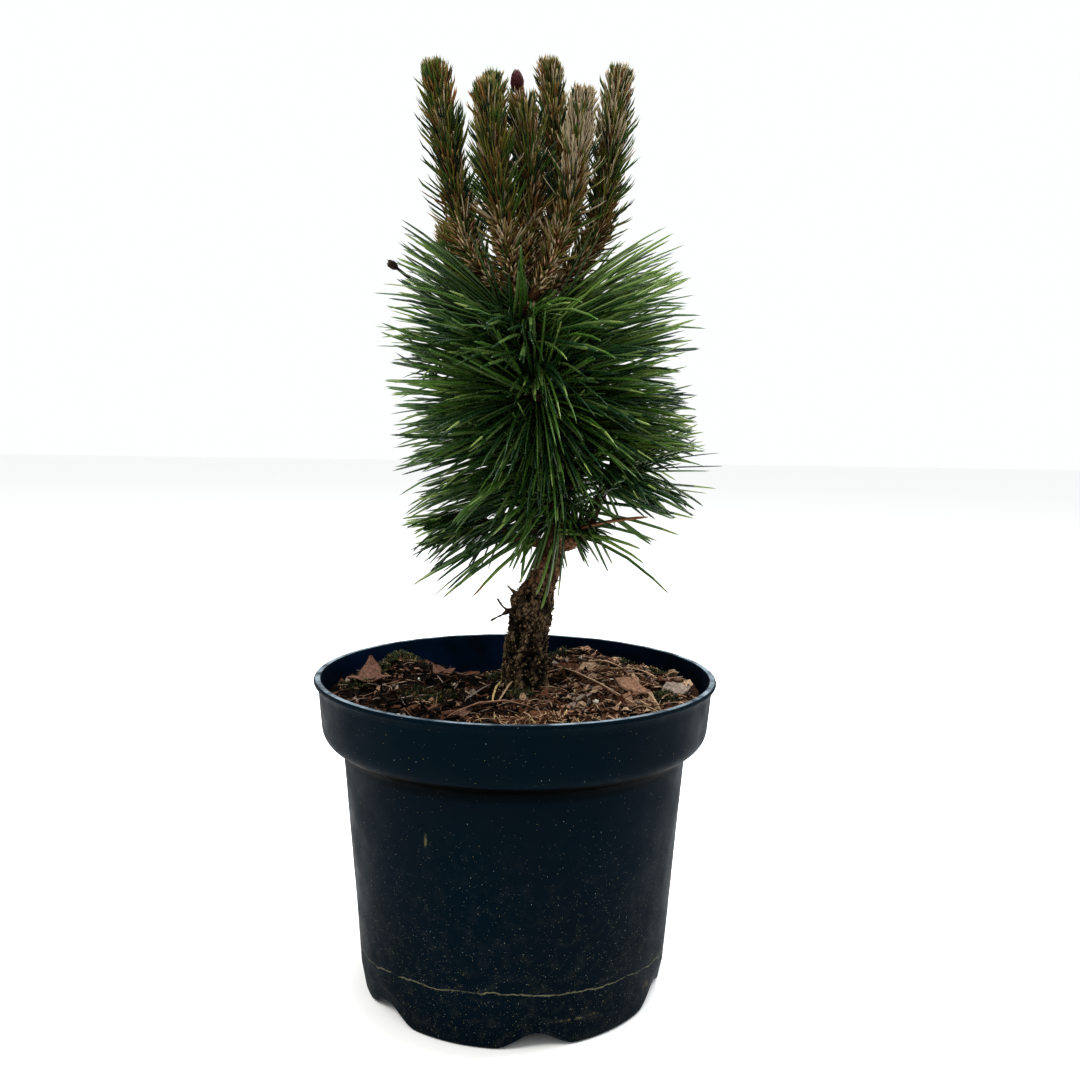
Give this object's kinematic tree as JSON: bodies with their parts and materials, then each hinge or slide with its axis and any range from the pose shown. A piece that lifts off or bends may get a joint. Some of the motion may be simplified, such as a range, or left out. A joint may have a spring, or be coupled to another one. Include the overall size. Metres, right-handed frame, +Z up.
{
  "type": "potted dwarf austrian pine",
  "caption": "Young dwarf pine in a round nursery pot: short leaning grafted trunk, a barrel of long dark needles and upright new shoots on top.",
  "frame": {"origin": "centre of the pot's flat underside, on the surface that it stands on", "axes": "+Z up along the pot's axis, -Y towards the picture's viewer, +X to the right in the picture"},
  "size_m": [0.232, 0.2298, 0.531],
  "materials": {
    "pot": "satin, dusty",
    "soil": "damp bark compost",
    "bark": "rough scaly bark",
    "needles": "satin, dark green",
    "shoots": "olive and tan, young"
  },
  "bodies": {
    "root": {"bough_low_left": "bark", "bough_low_right": "bark", "needles_bough_left": "needles", "needles_bough_right": "needles", "needles_low_1": "needles", "needles_low_2": "needles", "needles_low_3": "needles", "needles_low_4": "needles", "needles_low_5": "needles", "needles_mid_1": "needles", "needles_mid_2": "needles", "needles_mid_3": "needles", "needles_mid_4": "needles", "needles_mid_5": "needles", "needles_mid_6": "needles", "needles_top_1": "needles", "needles_top_2": "needles", "needles_top_3": "needles", "needles_top_4": "needles", "needles_top_5": "needles", "needles_top_6": "needles", "pot": "pot", "shoot_1": "shoots", "shoot_2": "shoots", "shoot_3": "shoots", "shoot_4": "shoots", "shoot_5": "shoots", "shoot_6": "shoots", "shoot_7": "shoots", "shoot_8": "shoots", "soil": "soil", "trunk": "bark"}
  },
  "joints": []
}
